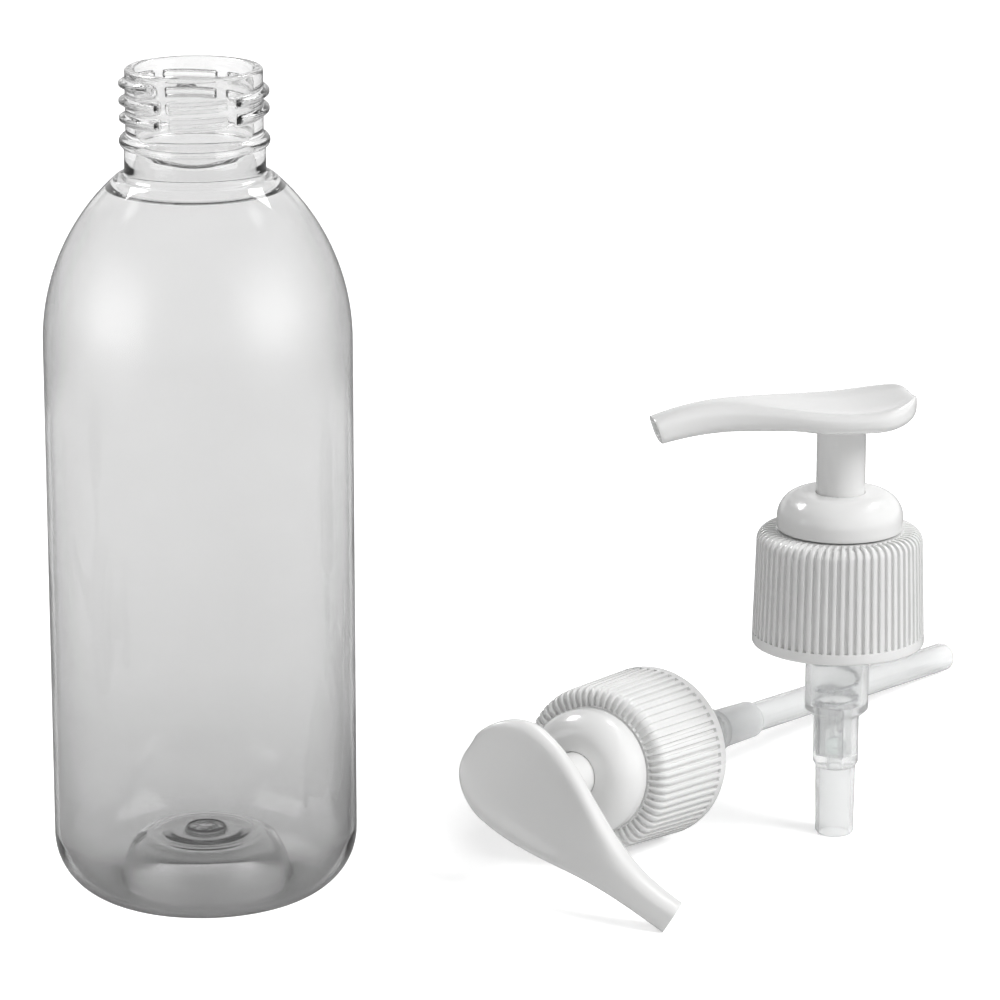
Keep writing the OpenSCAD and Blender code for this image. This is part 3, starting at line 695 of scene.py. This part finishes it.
for which in "ab":
    collar = finished(revolve(collar_section, columns=128), f"collar_skin_{which}", white_pp, places[which])
    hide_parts(f"collar_{which}")
    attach(collar, f"pump_{which}")


# ------------------------------------------------------------------ stems, poppets and pistons
# The stem is a white tube pressed into the shank. The poppet plugs its foot and takes the spring
# on its flange. The piston is a soft sleeve with two lips that wipe the barrel.

stem_r, stem_bore_r, stem_end, stem_top = 3.2, 1.6, -13.45, 15.05
piston_top, piston_end, lip_r, poppet_end, coil_r, wire = -7.4, -13.4, 4.95, -14.95, 4.1, 0.8
waist_r, nose_r = lip_r - 0.7, coil_r - wire / 2 - 0.5
stem_section = rounded([(stem_bore_r, stem_end), (stem_r, stem_end), (stem_r, stem_top),
                        (stem_bore_r, stem_top)], 0.3)
plug_r, plug_h, tip_r, seat_of_coil = stem_bore_r - 0.05, 4, 0.05, coil_r + wire / 2
poppet_section = [(tip_r, stem_end + plug_h), (stem_bore_r - 0.45, stem_end + plug_h),
                  (stem_bore_r - 0.15, stem_end + 3.6), (plug_r, stem_end + 3.0), (plug_r, stem_end)]
poppet_section += rounded([(plug_r, stem_end), (seat_of_coil, stem_end), (seat_of_coil, poppet_end),
                           (nose_r, poppet_end), (nose_r - 0.8, poppet_end - 1), (tip_r, poppet_end - 1)],
                          0.2)[6:-6]
poppet_section += [(0.4, poppet_end - 1), (tip_r, poppet_end - 1)]
piston_section = rounded([
    (stem_r + 0.05, piston_end), (waist_r, piston_end), (lip_r, piston_end + 0.7),
    (lip_r, piston_end + 1.4), (waist_r, piston_end + 2.1), (waist_r, piston_top - 2.1),
    (lip_r, piston_top - 1.4), (lip_r, piston_top - 0.7), (waist_r, piston_top),
    (stem_r + 0.05, piston_top)], 0.3)
soft_pe = plastic("soft_pe", (0.74, 0.79, 0.84), 0.35, 0.48)

for which in "ab":
    for name, section, material, slot, body in (
            ("stem", stem_section, white_pp, "white_pp", "head"),
            ("poppet", poppet_section, white_pp, "white_pp", "head"),
            ("piston", piston_section, soft_pe, "soft_pe", "piston")):
        piece = finished(revolve(section, columns=72, poles=name == "poppet"), f"{name}_skin_{which}",
                         material, places[which])
        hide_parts(f"{name}_{which}")
        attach(piece, f"{body}_{which}")


# ------------------------------------------------------------------ springs
# Stainless steel wire, coiled with both ends closed so that it sits flat on the barrel's floor
# and under the poppet. In use it shortens with the stroke; here it is drawn at one length.

spring_steel, steel_shader, add = shader("spring_steel")
at = add("ShaderNodeTexCoord").outputs["Object"]
drawn = noise(add, at, 900.0, 3.0)
steel_greys = [(0.3, (0.52, 0.53, 0.54)), (0.7, (0.66, 0.67, 0.68))]
feed(spring_steel, ramp(add, drawn, steel_greys), steel_shader, "Base Color")
feed(spring_steel, mapped(add, drawn, start=0.18, end=0.36), steel_shader, "Roughness")
steel_shader.inputs["Metallic"].default_value = 1.0
spring_h, stroke = 16.0, 12.0
wire_round = outline(arc(0, 0, wire / 2 - 0.01, 0, 324, 9))

for which in "ab":
    spring = finished(grown(wound, wire_round, Radius=coil_r, Height=spring_h - wire, Turns=5.0, Flat=0.93,
                            Taper=0.0, Steps=300, Material=spring_steel),
                      f"spring_skin_{which}", spring_steel,
                      places[which] @ Matrix.Translation((0, 0, (bore_bottom + wire / 2) * mm)))
    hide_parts(f"spring_{which}")
    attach(spring, f"pump_{which}")
    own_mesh(spring)


# ------------------------------------------------------------------ inlet balls
# Ground glass balls, 4 mm, that close the inlet when the head goes down and lift off their seat
# when it comes up.

valve_glass, glass_shader, add = shader("valve_glass")
at = add("ShaderNodeTexCoord").outputs["Object"]
ground = noise(add, at, 1200.0, 2.0)
glass_greens = [(0.3, (0.80, 0.86, 0.84)), (0.7, (0.88, 0.93, 0.91))]
feed(valve_glass, ramp(add, ground, glass_greens), glass_shader, "Base Color")
feed(valve_glass, mapped(add, ground, start=0.03, end=0.12), glass_shader, "Roughness")
glass_shader.inputs["Transmission Weight"].default_value = 1.0
glass_shader.inputs["IOR"].default_value = 1.52

for which in "ab":
    ball = finished(revolve(arc(0, ball_z, ball_r, -88, 88, 24), columns=40, poles=True),
                    f"ball_skin_{which}", valve_glass, places[which])
    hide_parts(f"ball_{which}")
    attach(ball, f"ball_{which}")


# ------------------------------------------------------------------ heads
# White PP heads, one moulding each: a slim nozzle arm that swells into a dished finger pad with a
# soft rolled rim, on a hollow shank. The nozzle is cut at a slant, with the outlet sunk in it.

head_z, shank_end = 24.45, 3.05
reach, pad_back, pad_w, nozzle_w, nozzle_t, arm_t = 36.7, 14.3, 22.6, 6.2, 5.0, 6.1
droop, pad_lift, under_lift, arm_dip, dish, tip_slant = 2.9, 2.4, 2.2, 1.1, 1.3, 19.0
pad_x, back_x, arm_x, end_z = 0.3 * pad_back, 0.75 * pad_back, -0.55 * reach, 0.55 * arm_t
skin_t, section_power, swell_power, rim_power, dish_power = 0.6, 2 / 2.9, 1.4, 5, 2.4


def ease(x, low, high):
    """The smooth rise from 0 to 1, as a plain number."""
    return float(smooth(x, low, high))


def half_w(x):
    """Half the head's width: a slim arm that swells into a round pad."""
    if x > pad_x:
        return pad_w / 2 * math.sqrt(max(0.0, 1 - ((x - pad_x) / (pad_back - pad_x)) ** 2))
    swell = (1 - math.cos(math.pi * (x + reach) / (pad_x + reach))) / 2
    return nozzle_w / 2 + (pad_w - nozzle_w) / 2 * swell ** swell_power


def top_z(x):
    """Height of the rim: down at the nozzle, low over the shank and up at the back."""
    fall = droop * ((arm_x - x) / (reach + arm_x)) ** 2 if x < arm_x else 0
    lift = pad_lift * (x / pad_back) ** 2 if x > 0 else 0
    return arm_t + skin_t - fall - arm_dip * ease(x, arm_x, 0.1 * pad_back) + lift


def under_z(x):
    """Height of the underside."""
    fall = (droop - arm_t + nozzle_t) * ((arm_x - x) / (reach + arm_x)) ** 2 if x < arm_x else 0
    lift = under_lift * ((x - shank_r) / (pad_back - shank_r)) ** 2 if x > shank_r else 0
    return skin_t - fall - skin_t * ease(x, -12, -shank_r) + lift


def head_ring(x, points=88):
    """Section of the head at x: a rounded oblong with its top dished between the rims."""
    left = max(0.0, 1 - ((x - back_x) / (pad_back - back_x)) ** 3) ** (1 / 3) if x > back_x else 1
    top, bottom = end_z + (top_z(x) - end_z) * left, end_z - (end_z - under_z(x)) * left
    w, middle, half = half_w(x), (top + bottom) / 2, (top - bottom) / 2
    hollow = dish * ease(x, -0.8 * reach, -0.1 * reach) * left
    slant = math.tan(math.radians(tip_slant)) * (1 - ease(x, -reach, arm_x))
    ring = []
    for a in np.linspace(0, 2 * math.pi, points, endpoint=False):
        y = w * math.copysign(abs(math.cos(a)) ** section_power, math.cos(a))
        s = math.copysign(abs(math.sin(a)) ** section_power, math.sin(a))
        z = middle + half * s
        if s > 0:
            z -= hollow * (1 - abs(y / w) ** rim_power) ** dish_power * s
        ring.append((x - (z - middle) * slant, y, z + head_z))
    return np.array(ring)


duct_r, station_count = 0.95, 120


def outlet_rings(face):
    """Rings of the outlet, from deep in its round duct out to the nozzle's cut face."""
    slant = math.radians(tip_slant)
    centre, inward = face.mean(0), np.array([math.cos(slant), 0, math.sin(slant)])
    spread = face - centre
    duct = spread / np.linalg.norm(spread, axis=1)[:, None] * duct_r
    return [centre + duct + 7 * inward, centre + duct + 1.2 * inward, centre + spread * 0.6 + 1.2 * inward,
            centre + spread * 0.64 + 1.1 * inward, centre + spread * 0.65 + 0.1 * inward,
            centre + spread * 0.68, centre + spread * 0.93, centre + spread * 0.985 + 0.02 * inward]


def head_mesh():
    """The head as a skin over its sections, from the bottom of the outlet to the back of the pad."""
    stations = [-reach + (reach + pad_back) * math.sin(math.radians(89.5) * i / station_count)
                for i in range(station_count + 1)]
    rings = outlet_rings(head_ring(-reach)) + [head_ring(x) for x in [-reach + 0.12] + stations[1:]]
    count = len(rings[0])
    faces = [(k + j, k + (j + 1) % count, k + count + (j + 1) % count, k + count + j)
             for k in range(0, (len(rings) - 1) * count, count) for j in range(count)]
    faces += [tuple(range(count)), tuple((len(rings) - 1) * count + j for j in range(count))]
    mesh = bpy.data.meshes.new("head")
    mesh.from_pydata(np.concatenate(rings).tolist(), [], faces)
    return mesh


stem_hole_r, shank_bore_r, root_r, root_top = stem_r + 0.05, 1.5, shank_r + 0.5, head_z + 2.2
shank_section = rounded([
    (stem_hole_r, shank_end), (shank_r, shank_end), (shank_r, head_z - 0.7), (shank_r + 0.15, head_z - 0.25),
    (root_r, head_z + 0.15), (root_r, root_top), (shank_bore_r, root_top), (shank_bore_r, stem_top),
    (stem_hole_r, stem_top)], 0.3)


def joined(*meshes):
    """One mesh of several closed shells."""
    bm = bmesh.new()
    for mesh in meshes:
        bm.from_mesh(mesh)
    out = bpy.data.meshes.new("joined")
    bm.to_mesh(out)
    bm.free()
    return out


for which in "ab":
    head = finished(joined(head_mesh(), revolve(shank_section, columns=88)), f"head_skin_{which}", white_pp,
                    places[which])
    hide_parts(f"actuator_{which}")
    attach(head, f"head_{which}")


# ------------------------------------------------------------------ dip tube
# Extruded PE tube, 6 mm, pushed into the lying pump's socket and cut square. Extrusion leaves it
# with faint lines along its length.

tube_pe, tube_shader, add = shader("tube_pe")
at = add("ShaderNodeTexCoord").outputs["Object"]
cloud = noise(add, at, 120.0, 0.0)
tube_whites = [(0.3, (0.95, 0.955, 0.955)), (0.7, (0.97, 0.975, 0.975))]
feed(tube_pe, ramp(add, cloud, tube_whites), tube_shader, "Base Color")
feed(tube_pe, mapped(add, cloud, start=0.20, end=0.26), tube_shader, "Roughness")
tube_shader.inputs["Transmission Weight"].default_value = 0.7
tube_shader.inputs["IOR"].default_value = 1.3
tube_top, tube_end, tube_in_r, tube_columns = -44.05, -143.7, 2.2, 96
lines = np.random.default_rng(28).normal(0, 0.012, tube_columns)


def shape_tube(angle, r, z):
    """Draws the faint extrusion lines along the tube's outside."""
    return r + lines[None, :] * (r > (tube_in_r + tube_r) / 2), z


tube_section = rounded([(tube_in_r, tube_end), (tube_r, tube_end), (tube_r, tube_top),
                        (tube_in_r, tube_top)], 0.12)
dip_tube = finished(revolve(tube_section, tube_columns, shape_tube), "dip_tube_skin_b", tube_pe, places["b"])
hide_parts("dip_tube_b")
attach(dip_tube, "pump_b")


# ------------------------------------------------------------------ floor, light and camera
# A plain white floor that runs out of view, a soft key from the upper right and a weak fill. Of
# the six soft white cards, four show only as gloss and two only through the clear walls.

def shown_ray(add):
    """1 for rays that show what lies behind: to the camera, and through clear plastic."""
    path = add("ShaderNodeLightPath").outputs
    return maths(add, "MAXIMUM", path["Is Camera Ray"], path["Is Transmission Ray"])


def stage_sheet(name, size_x, size_y, place, material):
    """Flat sheet for the stage, with its own UV map."""
    mesh = bpy.data.meshes.new(name)
    corners = [(-0.5, -0.5), (0.5, -0.5), (0.5, 0.5), (-0.5, 0.5)]
    mesh.from_pydata([(x * size_x, y * size_y, 0) for x, y in corners], [], [(0, 1, 2, 3)])
    for loop, (x, y) in zip(mesh.uv_layers.new().data, corners):
        loop.uv = (x + 0.5, y + 0.5)
    mesh.transform(place)
    mesh.materials.append(material)
    sheet = bpy.data.objects.new(name, mesh)
    bpy.context.scene.collection.objects.link(sheet)
    return sheet


# Greyer under the bottle, which lets less light through there: a painted shadow, as the bottle casts none.
# Darker where it is mirrored
floor_white, floor_shader, add = shader("floor_white")
out = add("ShaderNodeVectorMath", {0: add("ShaderNodeTexCoord").outputs["Object"]}, operation="LENGTH")
grey_reach = 1 / 30
under = ramp(add, maths(add, "MULTIPLY", out.outputs["Value"], 1 / grey_reach),
             [(0.0, 0.36), (0.35, 0.45), (0.50, 0.62), (0.585, 1.0), (1.0, 1.0)])
path = add("ShaderNodeLightPath").outputs
gloss = maths(add, "SUBTRACT", path["Is Glossy Ray"], path["Is Transmission Ray"])
level = maths(add, "MULTIPLY", mapped(add, gloss, start=0.93, end=0.45), under)
feed(floor_white, add("ShaderNodeCombineColor", {0: level, 1: level, 2: level}).outputs[0], floor_shader,
     "Base Color")
floor_shader.inputs["Roughness"].default_value = 0.9
floor_shader.inputs["Specular IOR Level"].default_value = 0.0
floor_shader.inputs["Emission Color"].default_value = (1, 1, 1, 1)
glow = maths(add, "MULTIPLY_ADD", path["Is Camera Ray"], 0.16, 0.38)
glow = maths(add, "MULTIPLY", maths(add, "MULTIPLY", shown_ray(add), glow), under)
feed(floor_white, glow, floor_shader, "Emission Strength")
floor_w, floor_drop = 12, 0.00005
stage_sheet("floor", floor_w, floor_w, Matrix.Translation((0, 0, -floor_drop)), floor_white)

# Each card: the way to it, its size in m, its power, and the share of it over which its edges fade
gloss_cards = (
    ((-0.62, 0.12, 0.77), (0.40, 0.30), 3.0, 0.45), ((0.60, 0.05, 0.80), (0.40, 0.30), 2.6, 0.45),
    ((-0.45, 0.42, 0.79), (0.40, 0.24), 14.0, 0.1), ((0.50, 0.40, 0.77), (0.30, 0.22), 10.0, 0.1))
seen_through_cards = (
    ((-0.86, -0.48, 0.28), (0.85, 0.58), 3.8, 0.12), ((0.83, -0.43, 0.32), (0.85, 0.58), 4.2, 0.12))
card_away = 0.9
for number, (toward, size, power, soft_at) in enumerate(gloss_cards + seen_through_cards):
    soft_card, card_shader, add = shader(f"soft_card_{number}")
    spot = add("ShaderNodeSeparateXYZ", {0: add("ShaderNodeTexCoord").outputs["UV"]}).outputs
    edges = []
    for side in ("X", "Y"):
        near = maths(add, "MINIMUM", spot[side], maths(add, "SUBTRACT", 1.0, spot[side]))
        edges.append(mapped(add, near, 0.0, soft_at, kind="SMOOTHSTEP"))
    soft = maths(add, "MULTIPLY", *edges)
    card_shader.inputs["Base Color"].default_value = (0, 0, 0, 1)
    card_shader.inputs["Emission Color"].default_value = (1, 1, 1, 1)
    feed(soft_card, maths(add, "MULTIPLY", soft, power), card_shader, "Emission Strength")
    feed(soft_card, soft, card_shader, "Alpha")
    way = Vector(toward).normalized()
    facing_set = way.to_track_quat("Z", "Y").to_matrix().to_4x4()
    place = Matrix.Translation(way * card_away + Vector((0, 0, 0.01))) @ facing_set
    card = stage_sheet(f"soft_card_{number}", *size, place, soft_card)
    card.visible_camera = card.visible_diffuse = card.visible_shadow = False
    card.visible_glossy = number < len(gloss_cards)
    card.visible_transmission = not card.visible_glossy


def lamp(name, toward, size, power):
    """Sun lamp that shines from a direction, softened by its size in degrees."""
    data = bpy.data.lights.new(name, "SUN")
    data.energy, data.angle = power, math.radians(size)
    holder = bpy.data.objects.new(name, data)
    holder.rotation_euler = Vector(toward).to_track_quat("Z", "Y").to_euler()
    holder.visible_glossy = holder.visible_transmission = False
    bpy.context.scene.collection.objects.link(holder)


lamp("key", (0.646, -0.323, 0.692), 34, 2.6)
lamp("fill", (-0.1, -0.95, 0.3), 60, 0.08)

world = bpy.data.worlds.new("studio")
world.use_nodes = True
bpy.context.scene.world = world
add = nodes_of(world.node_tree)
sky = add("ShaderNodeSeparateXYZ", {0: add("ShaderNodeTexCoord").outputs["Generated"]}).outputs["Z"]
horizon, overhead = 0.25, 0.95
ceiling = mapped(add, sky, horizon, overhead, 1.0, 0.40)
mirrored = mapped(add, add("ShaderNodeLightPath").outputs["Is Glossy Ray"], start=0.25, end=ceiling)
through = mapped(add, sky, horizon, overhead, 1.0, 0.7)
level = add("ShaderNodeMix", {0: shown_ray(add), 2: mirrored, 3: through}, data_type="FLOAT").outputs[0]
world.node_tree.links.new(level, world.node_tree.nodes["Background"].inputs["Strength"])
world.node_tree.nodes["Background"].inputs["Color"].default_value = (1, 1, 1, 1)

camera = bpy.data.objects.new("camera", bpy.data.cameras.new("camera"))
camera.data.sensor_width, camera.data.lens = 36.0, 176.0
camera.location = (0.0556, -0.876, 0.316)
looks_down = 15.35
camera.rotation_euler = (math.radians(90 - looks_down), 0, 0)
bpy.context.scene.collection.objects.link(camera)
bpy.context.scene.camera = camera
bpy.context.scene.view_settings.view_transform = "Standard"
